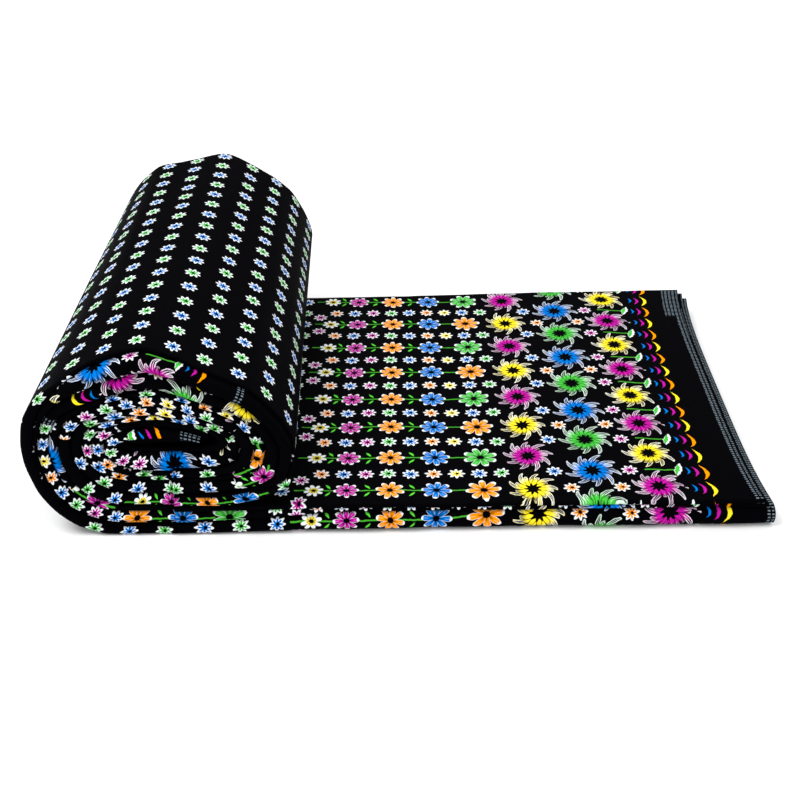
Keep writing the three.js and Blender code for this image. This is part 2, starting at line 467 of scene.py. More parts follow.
def wound_print(way, length, path, stretches):
    """u and v of a wound bundle at both ends of each quad. In each stretch of print
    u = u at the anchor + slope (way - anchor way), and v follows the face or a row."""
    face, fold = rows_on_face(way, length), rows_on_fold(length, path)
    u = np.zeros((2,) + length.shape)
    v = np.zeros((2,) + length.shape)
    for end, from_way in enumerate(both_ends(way)):
        for start, anchor, at_anchor, slope, row in stretches:
            here = (from_way >= start)[:, None]
            u[end] = np.where(here, (at_anchor + slope * (way - anchor))[:, None], u[end])
            v[end] = np.where(here, face if row == FACE else fold - row * ROW_PITCH, v[end])
    return u, v


def skin_share(wound):
    """Share of the outermost bundle's thickness that its first layer takes, and its set back.

    Along the floor and at the right foot the layer fills the bundle; over the top it is thin and
    its fold lies further back, so the next layer's fold shows in front of it. Both pass from one
    to the other by soft steps of the degrees wound.
    """
    thin = smooth_step(wound, 98, 138) * (1 - smooth_step(wound, 288, 316))
    set_back = smooth_step(wound, 128, 150) * (1 - smooth_step(wound, 268, 300))
    return SKIN_SHARE_LOW + (SKIN_SHARE_TOP - SKIN_SHARE_LOW) * thin, SKIN_SET_BACK * set_back


def wound_walls(node, ply, face_steps):
    """Outer and inner wall of a wound layer's shell, with their u and v.

    ply is 0 for the outermost bundle's first layer, 1 for the rest of it and None for a bundle
    in one piece. The rows of points lie evenly along the bundle's way. A point is the bundle's
    section at that angle, put on the line from skin to slit at share = (thickness outside +
    depth - relief (1 - share)) / whole thickness.
    """
    fold, start, stop, set_back, phase = WOUND_BUNDLES[node]
    wound = np.linspace(start + TURN_MARGIN, stop - TURN_MARGIN, 400)
    way = way_along(fold, wound)
    count = int(way[-1] / ROLL_SPACING) + 2
    wound = np.interp(np.linspace(0, way[-1], count), way, wound)
    way = way_along(fold, wound)
    outside, own, total = depth_of(fold, wound)
    front = ROLL_FRONT + set_back + ROLL_TUCK + fold_drift(way, phase)
    back = ROLL_BACK - set_back - ROLL_TUCK + fold_drift(way, phase + ROLL_BACK_LATER)
    first_share, first_set_back = skin_share(wound)
    if ply == 0:
        own = own * first_share
        front = front + first_set_back
    elif ply == 1:
        outside = outside + own * first_share
        own = own * (1 - first_share)
    path = path_round("outer", face_steps)
    thickness = np.maximum(own - BUNDLE_GAP, LEAST_THICKNESS)
    walls = []
    for inset in (0.0, CLOTH_THICKNESS):
        depth, y = bundle_section(thickness, front, back, inset, path)
        share = (outside[:, None] + depth) / total[:, None]
        angle = np.broadcast_to(wound[:, None], y.shape)
        relief = roll_relief(angle, y) + puckers(phase, way, y, front, back)
        share = share - relief / total[:, None] * (1 - share)
        x, z = roll_point(angle, share, y)
        walls.append(np.stack([x, y, z], axis=-1))
    length = length_round(*bundle_section(thickness, front, back, 0.0, path), path[3])
    u, v = wound_print(way, length, path, SKIN_PRINT if ply == 0 else FOLD_PRINTS[node])
    return walls, u, v


def way_along(fold, wound):
    """Distance along a bundle's outer face at y = 0: the sum of the steps from point to point."""
    outside, _, total = depth_of(fold, wound)
    x, z = roll_point(wound, outside / total, np.zeros_like(wound))
    return np.concatenate([[0], np.cumsum(np.hypot(np.diff(x), np.diff(z)))])


def lying_print(fold, x, length, path):
    """u and v of a lying bundle at both ends of each quad: rows straight along the top of the
    inner one, and along the front fold of the others."""
    u = np.zeros((2,) + length.shape)
    v = np.zeros((2,) + length.shape)
    on_fold = rows_on_fold(length, path)
    lag = np.interp(x, LYING_LAG[:, 0], LYING_LAG[:, 1])
    for end, from_x in enumerate(both_ends(x)):
        if fold == "inner":
            u_here = np.where(from_x > PLAIN_TO, AXIS_TO_FREE_END - LYING_ENDS[fold] - x, BARE)
            u[end] = FAN * np.clip(FAN_TO - x, 0, FAN_REACH)[:, None] * length
            v[end] = length - np.interp(x, ROW_DRIFT[:, 0], ROW_DRIFT[:, 1])[:, None]
            v[end] += LIP_SHIFT * smooth_step(-length, LIP_FROM, LIP_TO)
        elif fold == "middle":
            under = from_x <= UNDER_MIDDLE_TO
            u_here = np.where(under, UNDER_MIDDLE_U - x, AXIS_TO_FREE_END - x - lag)
            row = np.where(under, UNDER_MIDDLE_ROW, MIDDLE_ROW)
            v[end] = on_fold - row[:, None] * ROW_PITCH
        else:
            u_here = AXIS_TO_FREE_END - x - lag
            row = OUTER_ROW + OUTER_ROW_CHANGE * smooth_step(x, CHANGE_FROM, CHANGE_TO)
            v[end] = on_fold - row[:, None] * ROW_PITCH
        u[end] += u_here[:, None]
    return u, v


def lying_walls(node, face_steps, inset=0.0, back_from_end=0.0, reach=None):
    """Outer and inner wall of a lying bundle's shell, with their u and v.

    inset and back_from_end place a layer inside the bundle, and reach is how far it then runs.
    A point is the bundle's section at x, put on the thickness of the bundles below it, with the
    free end bent out by corner reach (|y| / half width)^4 and the creases' relief on top, which
    grows with (height / whole height)^1.5.
    """
    fold, phase = LYING_BUNDLES[node]
    end = AXIS_TO_FREE_END - LYING_ENDS[fold] - back_from_end
    stop = LYING_START if reach is None else end - reach
    count = int((end - stop) / LYING_SPACING) + 2
    x = np.linspace(end, stop, count)
    spread = smooth_step(x, 0, SPREAD_FROM_AXIS)
    thickness = {name: THICKNESS[0, k + 1] + spread * (LYING_THICKNESS[name] - THICKNESS[0, k + 1])
                 for k, name in enumerate(FOLDS)}
    bottom = sum((thickness[name] for name in FOLDS[:FOLDS.index(fold)]), np.zeros_like(x))
    tuck = LYING_SET_BACK[fold] + LYING_TUCK
    front = read_table(LYING_EDGES, 1, x) + tuck + LYING_DRIFT * fold_drift(x, phase)
    back = read_table(LYING_EDGES, 2, x) - tuck + LYING_DRIFT * fold_drift(x, LYING_BACK_PHASE)
    path = path_round("inner", face_steps)
    own = thickness[fold] - BUNDLE_GAP
    walls = []
    for wall_inset in (inset, inset + CLOTH_THICKNESS):
        depth, y = bundle_section(own, front, back, wall_inset, path)
        bent = smooth_step(x, CORNER_FROM, end)[:, None]
        px = x[:, None] + CORNER_REACH * np.abs(y / ROLL_BACK) ** 4 * bent
        height = bottom[:, None] + depth
        fade = (height / LYING_HEIGHT) ** 1.5 * smooth_step(px, CREASES_FROM, CREASES_FULL)
        lift = lying_relief(px, y) * fade
        walls.append(np.stack([px, y, height + lift], axis=-1))
    length = length_round(*bundle_section(own, front, back, inset, path), path[3])
    u, v = lying_print(fold, x, length, path)
    return walls, u, v


def ring_faces(rows, columns, offset, reverse):
    """Quads of a grid whose last column joins its first, as vertex and UV corner indexes."""
    i, j = np.meshgrid(np.arange(rows - 1), np.arange(columns), indexing="ij")
    i, j = i.ravel(), j.ravel()
    after = (j + 1) % columns
    quads = np.stack([i * columns + j, (i + 1) * columns + j,
                      (i + 1) * columns + after, i * columns + after], axis=1)
    wide = columns + 1
    near, far = i * wide + j, (rows + i + 1) * wide + j
    corners = np.stack([near, far, far + 1, near + 1], axis=1)
    if reverse:
        quads, corners = quads[:, ::-1], corners[:, ::-1]
    return quads + offset, corners


def rim_faces(row, rows, columns, reverse):
    """Quads that join the outer wall to the inner one along one row of the grid."""
    j = np.arange(columns)
    after = (j + 1) % columns
    inner = rows * columns
    quads = np.stack([row * columns + j, row * columns + after,
                      inner + row * columns + after, inner + row * columns + j], axis=1)
    corner = row * (columns + 1) + j
    corners = np.stack([corner, corner + 1, corner + 1, corner], axis=1)
    if reverse:
        quads, corners = quads[:, ::-1], corners[:, ::-1]
    return quads, corners


def shell_parts(walls, u, v):
    """Vertices, quads and their UVs of one closed shell with a rim at both ends."""
    outer, inner = walls
    rows, columns = outer.shape[:2]
    points = np.concatenate([outer.reshape(-1, 3), inner.reshape(-1, 3)])
    last_v = 2 * v[..., -1:] - v[..., -2:-1]
    uv = np.stack([np.concatenate([u, u[..., -1:]], axis=-1),
                   np.concatenate([v, last_v], axis=-1)], axis=-1).reshape(-1, 2)
    pieces = [
        ring_faces(rows, columns, 0, False),
        ring_faces(rows, columns, rows * columns, True),
        rim_faces(0, rows, columns, False),
        rim_faces(rows - 1, rows, columns, True),
    ]
    quads = np.concatenate([piece[0] for piece in pieces])
    corners = np.concatenate([piece[1] for piece in pieces])
    a, b, c = (points[quads[:, k]] for k in (0, 1, 2))
    d = points[quads[:, 3]]
    volume = np.sum(a * np.cross(b, c)) + np.sum(a * np.cross(c, d))
    if volume < 0:
        quads, corners = quads[:, ::-1], corners[:, ::-1]
    return points, quads, uv[corners]


def cloth_object(name, shells, material):
    """One mesh object from closed shells, in metres, with the print's coordinates as its UVs."""
    points, quads, uvs, offset = [], [], [], 0
    for shell_points, shell_quads, shell_uv in shells:
        points.append(shell_points)
        quads.append(shell_quads + offset)
        uvs.append(shell_uv)
        offset += len(shell_points)
    points = (np.concatenate(points) + [AXIS_X, SHIFT_Y, 0]) * MM
    points[:, 2] = np.maximum(points[:, 2], 0)
    quads = np.concatenate(quads)
    mesh = bpy.data.meshes.new(name)
    mesh.from_pydata(points, [], quads)
    layer = mesh.uv_layers.new(name="print")
    layer.data.foreach_set("uv", (np.concatenate(uvs) * MM).ravel().astype(np.float32))
    mesh.polygons.foreach_set("use_smooth", np.ones(len(quads), dtype=bool))
    mesh.materials.append(material)
    piece = bpy.data.objects.new(name, mesh)
    bpy.context.scene.collection.objects.link(piece)
    return piece


class Field:
    """A number worked out at every point of the cloth. Arithmetic on fields adds Math nodes."""

    def __init__(self, tree, socket):
        self.tree = tree
        self.socket = socket

    def math(self, operation, *others):
        """One Math node on this field and the others, which may be plain numbers."""
        node = self.tree.nodes.new("ShaderNodeMath")
        node.operation = operation
        for k, value in enumerate((self,) + others):
            if isinstance(value, Field):
                self.tree.links.new(value.socket, node.inputs[k])
            else:
                node.inputs[k].default_value = value
        return Field(self.tree, node.outputs[0])

    def steady(self, value):
        """A field that is the same everywhere."""
        node = self.tree.nodes.new("ShaderNodeValue")
        node.outputs[0].default_value = value
        return Field(self.tree, node.outputs[0])

    def __add__(self, other):
        return self.math("ADD", other)

    def __sub__(self, other):
        return self.math("SUBTRACT", other)

    def __mul__(self, other):
        return self.math("MULTIPLY", other)

    def __truediv__(self, other):
        return self.math("DIVIDE", other)

    __radd__ = __add__
    __rmul__ = __mul__

    def __rsub__(self, other):
        return (self * -1.0) + other

    def __abs__(self):
        return self.math("ABSOLUTE")

    def least(self, other):
        return self.math("MINIMUM", other)

    def most(self, other):
        return self.math("MAXIMUM", other)

    def whole(self):
        """The whole number below."""
        return self.math("FLOOR")

    def part(self):
        """What is left over the whole number below, 0 to 1."""
        return self.math("FRACT")

    def above(self, other):
        return self.math("GREATER_THAN", other)

    def below(self, other):
        return self.math("LESS_THAN", other)

    def within(self, low, high):
        """1 between the two, and 0 elsewhere."""
        return self.above(low) * self.below(high)

    def eased(self, low, high):
        """0 at low, 1 at high and a soft step between."""
        node = self.tree.nodes.new("ShaderNodeMapRange")
        node.interpolation_type = "SMOOTHSTEP"
        self.tree.links.new(self.socket, node.inputs["Value"])
        node.inputs["From Min"].default_value = low
        node.inputs["From Max"].default_value = high
        return Field(self.tree, node.outputs["Result"])

    def pick(self, other, where):
        """This field, or the other one where the mask is 1."""
        return self + (other - self) * where

    def ramp(self, stops, low, high):
        """A colour by steps: each (start, colour) holds from its start to the next one's."""
        node = self.tree.nodes.new("ShaderNodeValToRGB")
        node.color_ramp.interpolation = "CONSTANT"
        elements = node.color_ramp.elements
        while len(elements) < len(stops):
            elements.new(1.0)
        for element, (start, colour) in zip(elements, stops):
            element.position = max(0.0, (start - low) / (high - low))
            element.color = colour
        self.tree.links.new(((self - low) / (high - low)).socket, node.inputs["Fac"])
        return node.outputs["Color"]


def ink(red, green, blue):
    """A colour as it looks on a screen, 0 to 255, turned to linear light."""
    linear = [((c / 255 + 0.055) / 1.055) ** 2.4 if c > 10 else c / 3294.6
              for c in (red, green, blue)]
    return (*linear, 1.0)


BLACK = ink(3, 3, 5)
WHITE = ink(233, 237, 240)
BLUE = ink(0, 114, 206)
GREEN = ink(66, 184, 60)
MAGENTA = ink(186, 22, 152)
ORANGE = ink(255, 148, 0)
YELLOW = ink(250, 226, 40)
STEM = ink(66, 160, 44)
LEAF = ink(84, 205, 56)
DASH = ink(118, 132, 142)


class Print:
    """The print's colour so far."""

    def __init__(self, tree, colour):
        self.tree = tree
        node = tree.nodes.new("ShaderNodeRGB")
        node.outputs[0].default_value = colour
        self.socket = node.outputs[0]

    def lay(self, mask, colour):
        """Lay an ink over it: colour = (1 - mask) colour so far + mask ink."""
        node = self.tree.nodes.new("ShaderNodeMix")
        node.data_type = "RGBA"
        factor, under, over = (socket for socket in node.inputs
                               if socket.identifier in ("Factor_Float", "A_Color", "B_Color"))
        self.tree.links.new(mask.socket, factor)
        self.tree.links.new(self.socket, under)
        if isinstance(colour, tuple):
            over.default_value = colour
        else:
            self.tree.links.new(colour, over)
        self.socket = next(out for out in node.outputs if out.identifier == "Result_Color")


def noise_field(tree, vector, scale, detail=2.0):
    """Smooth noise from 0 to 1, with so many waves to a metre of cloth."""
    node = tree.nodes.new("ShaderNodeTexNoise")
    node.inputs["Scale"].default_value = scale
    node.inputs["Detail"].default_value = detail
    tree.links.new(vector, node.inputs["Vector"])
    return Field(tree, node.outputs["Fac"])


def petal_place(du, dv, radius, count, spin, swirl):
    """Distance from the flower's middle, how far along and across the nearest petal a point lies,
    all as shares of the radius, and the petal's number.

    The angle is counted in petals, so its fraction less a half is the turn from the petal's axis;
    swirl bends the petals more the further out they are.
    """
    distance = (du * du + dv * dv).math("SQRT") / radius
    petals = dv.math("ARCTAN2", du) * (count / (2 * math.pi)) + distance * distance * swirl + spin
    turned = (petals.part() - 0.5) * (2 * math.pi / count)
    along = distance * turned.math("COSINE")
    across = abs(distance * turned.math("SINE"))
    return distance, along, across, petals.whole()


def petal_width(along, width, swell, tip):
    """Half width of a petal: width t^swell (1 - t^2)^tip, and less than nothing past its end."""
    bounded = along.most(0.001)
    rest = (1.0 - bounded * bounded).most(0.0001)
    return bounded.math("POWER", swell) * rest.math("POWER", tip) * width - bounded.above(0.99)


def lay_daisies(print_, du, dv, radius, spin, colour, reach):
    """Daisies of eight parted petals: a thin white edge and tip, coloured inside as far as the
    reach, a pale vein outside, and darker towards the dark eye."""
    distance, along, across, _ = petal_place(du, dv, radius, 8, spin, 0.0)
    width = petal_width(along, 0.36, 0.80, 0.46)
    print_.lay((width - across).eased(-0.012, 0.012), WHITE)
    inner = (width * 0.91 - across).eased(-0.015, 0.02) * (reach - along).eased(-0.06, 0.05)
    print_.lay(inner, colour)
    vein = (0.012 - across).eased(-0.008, 0.004) * along.within(0.56, 0.86)
    print_.lay(vein * inner * 0.4, WHITE)
    print_.lay((0.62 - distance).eased(0.0, 0.45) * inner * 0.45, BLACK)
    crease = (0.020 - across).eased(-0.012, 0.004) * along.within(0.16, 0.42)
    print_.lay(crease * 0.6, BLACK)
    print_.lay((0.21 - distance).eased(-0.03, 0.02), BLACK)


def lay_small_flowers(print_, du, dv, spin, colour):
    """Small white flowers of eight pointed petals, with a coloured star of about half a petal's
    width and a dark eye a little off the middle."""
    distance, along, across, _ = petal_place(du, dv, SMALL_RADIUS, 8, spin, 0.0)
    width = petal_width(along, 0.35, 0.5, 0.74)
    print_.lay((width - across).eased(-0.03, 0.03), WHITE)
    star = (width * 0.56 - across).eased(-0.03, 0.03) * (0.66 - along).eased(-0.10, 0.10)
    print_.lay(star.most((0.32 - distance).eased(-0.05, 0.05)), colour)
    crease = (0.03 - across).eased(-0.02, 0.01) * along.within(0.15, 0.50)
    print_.lay(crease * 0.6, BLACK)
    shifted = ((du + 0.5) * (du + 0.5) + dv * dv).math("SQRT")
    print_.lay((1.25 - shifted).eased(-0.25, 0.2), BLACK)


def lay_spiky_flowers(print_, du, dv, radius, spin, colour):
    """Flowers of thin curved petals in two rings, the second over the gaps of the first. Each
    petal has a dark edge near the middle and a white one outside, where its colour ends."""
    for petals, swirl, shift, shorter in ((9, 0.8, 0.0, 0.0), (9, 0.6, 0.5, 0.22)):
        distance, along, across, number = petal_place(du, dv, radius, petals, spin + shift, swirl)
        chance = ((number * 7.31 + shift * 5.0).math("SINE") * 43.7).part()
        length = 1.0 - shorter - chance * 0.16
        width = petal_width(along / length, 0.150, 0.55, 0.42)
        inside = (width - across).eased(-0.006, 0.006) * distance.above(0.2)
        print_.lay(inside, BLACK)
        fade = (along * (-1.0) + 0.80 - chance * 0.20).eased(0.0, 0.26)
        filled = (width - 0.020 - across).eased(-0.008, 0.010)
        print_.lay(filled * fade, colour)
        streak = (0.010 - across).eased(-0.006, 0.003) * inside
        print_.lay(streak * (along - 0.42).eased(0.0, 0.10) * (0.75 - chance * 0.5), WHITE)
        rim = (across - width + 0.034).eased(-0.004, 0.006) * inside
        rim = rim * (along - 0.44 - chance * 0.12).eased(0.0, 0.14)
        print_.lay(rim, colour)
        print_.lay(rim * (0.85 - chance * 0.40), WHITE)
    around = (dv.math("ARCTAN2", du) * 9.0).math("COSINE") * 0.06 + 0.26
    print_.lay((around - distance).eased(-0.02, 0.02), BLACK)


# Where a v lies: mm from the nearest row, stem row and row between the stems, 1 where the nearest
# row lies between, and 1 where the stem row or the row between is the second of its kind
Rows = namedtuple(
    "Rows", "on_row on_stem on_between row_is_between stem_is_second between_is_second")


def print_rows(v):
    """The place of v among four rows that repeat: cycle = (row A - v) / pitch, counted round 4."""
    cycle = ((v - ROW_A_AT_Y) / (-4 * ROW_PITCH)).part() * 4.0
    on_row = ((cycle + 0.5).part() - 0.5) * ROW_PITCH
    on_stem = ((cycle * 0.5 + 0.5).part() - 0.5) * (2 * ROW_PITCH)
    on_between = ((cycle * 0.5).part() - 0.5) * (2 * ROW_PITCH)
    row_is_between = ((cycle + 0.5).whole() * 0.5).part().above(0.25)
    return Rows(on_row, on_stem, on_between, row_is_between, cycle.within(1.0, 3.0),
                cycle.above(2.0))


# Flowers of a stem, from the border inwards: u where its share of the stem starts, u of its
# middle, radius, and how far its colour reaches
STEM_FLOWERS = [
    (178.0, 194.8, 12.9, 0.84),
    (211.5, 228.0, 10.9, 0.84),
    (244.5, 260.8, 10.6, 0.84),
    (277.0, 292.2, 9.4, 0.82),
    (304.0, 315.9, 7.4, 0.46),
]
# Pairs of leaves: u where a pair's share of the stem starts and its own u, and how far out from
# the stem their middles lie. Then half widths of the stems
LEAF_PAIRS = [(234.0, 245.0), (261.0, 277.0), (292.0, 305.4)]
LEAF_OUT = 4.8
STEM_HALF, BUD_STEM_HALF = 0.55, 0.62
# The row of small flowers between the stems, and the even columns of the cloth's middle
SMALL_RADIUS = 6.4
SMALL_FIRST, SMALL_PITCH = 180.6, 16.35
EVEN_FIRST, EVEN_PITCH, EVEN_FROM = 339.0, 24.6, 333.0
# Small flowers among the spiky ones, before and after BEYOND: one on each row between the stems,
# and one more on each second stem row
SPIKY_ZONE, BEYOND = 172.0, 113.0
SINGLES, SECONDS = (85.3, 141.4), (94.2, 131.0)
# A pair of small flowers beside each second stem's end: u, its share, and their place off the stem
PAIR_AT, PAIR_FROM, PAIR_OFF = 325.8, 319.3, 13.5
# Spiky flowers: u of the three columns, where the second and third start, and the radii
SPIKY_COLUMNS, SPIKY_STARTS = (67.8, 113.0, 159.2), (90.4, 136.0)
SPIKY_RADIUS, SPIKY_RADIUS_MIDDLE = 20.3, 22.0
# A flower is moved this far off where there is none
OFF_THE_CLOTH = 999.0
# Crescents: u of the edge, half their height, how far they bulge, their thickness and their ink,
# where None is yellow on the stem rows and orange between
CRESCENTS = [
    (29.0, 9.6, 5.4, 2.7, None),
    (36.0, 6.8, 3.9, 2.2, MAGENTA),
    (41.8, 4.6, 3.0, 1.8, BLUE),
]
# Buds: u of the middle and how far that leans for each mm of v
BUD_AT, BUD_LEAN = 50.2, 0.27
# Dashes: their pitch along v and u, the selvedge's band, and a wider block every so many rows
DASH_LONG, DASH_WIDE = 2.7, 3.3
SELVEDGE, BAND_TO, BLOCK_TO = 0.7, 6.8, 15.0
BLOCK_V, BLOCK_ROWS, BLOCK_SHARE = 124.0, 40, 0.06


def lay_stems(print_, inset, rows):
    """Wavy stems, the buds' short stems, and leaves in pairs that lean back from the border.
    Half a leaf's width is 0.9 (1 - along^2 / 10.5)."""
    stem = abs(rows.on_stem - (inset / 11.0).math("SINE") * 0.5)
    print_.lay((STEM_HALF - stem).eased(-0.25, 0.15) * inset.within(205, 330), STEM)
    short = abs(rows.on_between + (inset / 5.5).math("SINE") * 0.7)
    print_.lay((BUD_STEM_HALF - short).eased(-0.25, 0.15) * inset.within(52, 74), STEM)
    from_pair = inset - LEAF_PAIRS[0][1]
    for start, at in LEAF_PAIRS[1:]:
        from_pair = from_pair.pick(inset - at, inset.above(start))
    out = abs(rows.on_stem) - LEAF_OUT
    along = out * 0.80 + (from_pair - 0.2) * 0.60
    across = out * 0.60 - (from_pair - 0.2) * 0.80
    bow = 1.0 - along * along / 10.5
    leaf = (bow * 0.9 - abs(across)).eased(-0.2, 0.2)
    print_.lay(leaf * inset.within(LEAF_PAIRS[0][0], 314), LEAF)


def lay_stem_flowers(print_, inset, rows):
    """The five daisies of each stem, whose first is green or, on second stems, orange."""
    middle, radius, reach = (inset.steady(value) for value in STEM_FLOWERS[0][1:])
    for start, at, size, far in STEM_FLOWERS[1:]:
        beyond = inset.above(start)
        middle = middle.pick(at, beyond)
        radius = radius.pick(size, beyond)
        reach = reach.pick(far, beyond)
    starts = [flower[0] for flower in STEM_FLOWERS]
    inks = [BLUE, ORANGE, MAGENTA, YELLOW]
    stops = [(0, GREEN)] + list(zip(starts[1:], inks))
    stops += [(400, ORANGE)] + [(start + 400, colour) for start, colour in stops[1:]]
    colour = (inset + rows.stem_is_second * 400.0).ramp(stops, 0, 800)
    absent = (1.0 - inset.within(178, 328)) * OFF_THE_CLOTH
    spin = middle * 0.37 + rows.stem_is_second * 0.3
    lay_daisies(print_, inset - middle + absent, rows.on_stem, radius, spin, colour, reach)


def lay_all_small(print_, inset, rows):
    """Small flowers: a row of nine between the stems, the even columns of the cloth's middle,
    single ones among the spiky flowers, and a pair beside each second stem's end. The key is
    the column, or a number from 20 up, and gives each flower its ink and its spin."""
    key = ((inset - SMALL_FIRST) / SMALL_PITCH + 0.5).whole()
    du = inset - SMALL_FIRST - key * SMALL_PITCH
    dv = rows.on_between

    even = inset.above(EVEN_FROM)
    even_column = (inset - EVEN_FIRST) / EVEN_PITCH + 0.5
    du = du.pick((even_column.part() - 0.5) * EVEN_PITCH, even)
    dv = dv.pick(rows.on_row, even)
    other_colour = ((even_column.whole() + rows.row_is_between) * 0.5).part().above(0.25)
    key = key.pick(other_colour * 5.0 + 20.0, even)

    near_border = inset.below(SPIKY_ZONE)
    beyond = inset.above(BEYOND)
    on_second = abs(rows.on_stem).below(9.0) * rows.stem_is_second * inset.within(86, 139)
    single_du = inset - inset.steady(SINGLES[0]).pick(SINGLES[1], beyond)
    second_du = inset - inset.steady(SECONDS[0]).pick(SECONDS[1], beyond)
    du = du.pick(single_du.pick(second_du, on_second), near_border)
    dv = dv.pick(rows.on_between.pick(rows.on_stem, on_second), near_border)
    key = key.pick((beyond * 2.0 + 30.0).pick(36.0, on_second), near_border)

    pair_share = inset.within(PAIR_FROM, EVEN_FROM)
    pair = pair_share * rows.stem_is_second
    du = du.pick(inset - PAIR_AT, pair)
    dv = dv.pick(abs(rows.on_stem) - PAIR_OFF, pair)
    key = key.pick(30.0, pair)

    bare = pair_share * (1.0 - pair)
    bare = bare.most(inset.below(77)).most(inset.within(150, SPIKY_ZONE))
    colour = key.ramp(
        [(-1, GREEN), (0.5, BLUE), (1.5, YELLOW), (2.5, ORANGE), (3.5, BLUE), (4.5, GREEN),
         (5.5, MAGENTA), (6.5, BLUE), (7.5, ORANGE), (19, BLUE), (24, GREEN), (29, MAGENTA),
         (31, BLUE), (35, ORANGE)], -1, 40)
    lay_small_flowers(print_, du + bare * OFF_THE_CLOTH, dv, key * 0.23, colour)


def lay_all_spiky(print_, inset, rows):
    """Three columns of spiky flowers: on the stem rows, between them, and on them again. The
    key counts the column and whether its row is the second of its kind, and gives the ink."""
    second_column = inset.within(*SPIKY_STARTS)
    third_column = inset.above(SPIKY_STARTS[1])
    first, second, third = SPIKY_COLUMNS
    middle = inset.steady(first).pick(second, second_column).pick(third, third_column)
    dv = rows.on_stem.pick(rows.on_between, second_column)
    key = rows.stem_is_second.pick(rows.between_is_second + 2.0, second_column)
    key = key.pick(rows.stem_is_second + 4.0, third_column)
    colour = key.ramp([(0, YELLOW), (0.5, MAGENTA), (1.5, BLUE), (2.5, GREEN), (3.5, MAGENTA),
                       (4.5, YELLOW)], 0, 6)
    radius = inset.steady(SPIKY_RADIUS).pick(SPIKY_RADIUS_MIDDLE, second_column)
    absent = inset.above(187).most(inset.below(45)) * OFF_THE_CLOTH
    lay_spiky_flowers(print_, inset - middle + absent, dv * 0.93, radius, key * 0.3, colour)


def lay_border(print_, inset, v, rows):
    """Buds, three crescents to a row, and plain dashes on the selvedge and its block.

    A bud is 2.6 (1 - v^2 / 70) wide each way, and its green heart 1.5 (1 - v^2 / 52). A
    crescent's bow is 1 - (v / half height)^2: its edge lies bulge (1 - bow) further in, and it is
    thickness times bow across.
    """
    on_between, on_row = rows.on_between, rows.on_row
    tilted = inset - BUD_AT - on_between * BUD_LEAN
    ragged = (on_between * 1.5).math("SINE") * 0.35
    bud = 1.0 - on_between * on_between / 70.0
    print_.lay((bud * 2.6 + ragged * bud - abs(tilted)).eased(-0.2, 0.2), WHITE)
    heart = 1.0 - on_between * on_between / 52.0
    print_.lay((heart * 1.5 + ragged * heart - abs(tilted - 0.7)).eased(-0.2, 0.2), GREEN)

    by_row = rows.row_is_between.ramp([(0, YELLOW), (0.5, ORANGE)], 0, 1)
    for edge, half, bulge, thick, colour in CRESCENTS:
        bow = 1.0 - on_row * on_row / (half * half)
        from_edge = inset - edge - (1.0 - bow) * bulge
        body = from_edge.eased(-0.2, 0.2) * (bow * thick - from_edge).eased(-0.2, 0.2)
        print_.lay(body, colour or by_row)

    dash = (v / DASH_LONG).part().above(0.55) * ((inset + 0.9) / DASH_WIDE).part().above(0.40)
    band = inset.within(SELVEDGE, BAND_TO)
    every = ((v - BLOCK_V) / (BLOCK_ROWS * ROW_PITCH)).part()
    block = inset.within(SELVEDGE, BLOCK_TO) * every.below(BLOCK_SHARE)
    print_.lay(dash * band.most(block) * 0.8, DASH)


def print_colour(tree, u, v):
    """The whole print as one colour socket, from u and v in mm."""
    inset = u.least(CLOTH_WIDTH - u)
    rows = print_rows(v)
    print_ = Print(tree, BLACK)
    lay_stems(print_, inset, rows)
    lay_all_spiky(print_, inset, rows)
    lay_all_small(print_, inset, rows)
    lay_stem_flowers(print_, inset, rows)
    lay_border(print_, inset, v, rows)
    return print_.socket


# How far the printed lines waver and the rows sway, from side to side, and the weave's pitch
LINE_WAVER, ROW_SWAY = 1.5, 5.0
THREAD_PITCH = 0.42


def wax_print_cotton():
    """Calendered black cotton: the print, a soft sheen, and a plain weave as bump, the product
    of a sine along u and one along v."""
    material = bpy.data.materials.new("wax_print_cotton")
    material.use_nodes = True
    tree = material.node_tree
    shader = tree.nodes["Principled BSDF"]
    uv_map = tree.nodes.new("ShaderNodeUVMap")
    uv_map.uv_map = "print"
    split = tree.nodes.new("ShaderNodeSeparateXYZ")
    tree.links.new(uv_map.outputs["UV"], split.inputs[0])
    u = Field(tree, split.outputs[0]) * 1000.0
    v = Field(tree, split.outputs[1]) * 1000.0
    waver_u = noise_field(tree, uv_map.outputs["UV"], 230.0) - 0.5
    waver_v = noise_field(tree, uv_map.outputs["UV"], 271.0) - 0.5
    sway = noise_field(tree, uv_map.outputs["UV"], 14.0, 1.0) - 0.5
    drawn_u = u + waver_u * LINE_WAVER
    drawn_v = v + waver_v * LINE_WAVER + sway * ROW_SWAY
    tree.links.new(print_colour(tree, drawn_u, drawn_v), shader.inputs["Base Color"])
    shader.inputs["Roughness"].default_value = 0.6
    shader.inputs["Specular IOR Level"].default_value = 0.004
    thread = 2 * math.pi / THREAD_PITCH
    weave = (u * thread).math("SINE") * (v * thread).math("SINE")
    bump = tree.nodes.new("ShaderNodeBump")
    bump.inputs["Strength"].default_value = 0.15
    bump.inputs["Distance"].default_value = 0.0001
    tree.links.new(weave.socket, bump.inputs["Height"])
    tree.links.new(bump.outputs["Normal"], shader.inputs["Normal"])
    return material


cotton = wax_print_cotton()


def lay_cloth(node, shells):
    """The cloth of one bundle in place of its solid, with its finish and body."""
    piece = cloth_object(node.replace("_folds", "_cloth"), shells, cotton)
    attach(piece, "root")
    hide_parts(node)


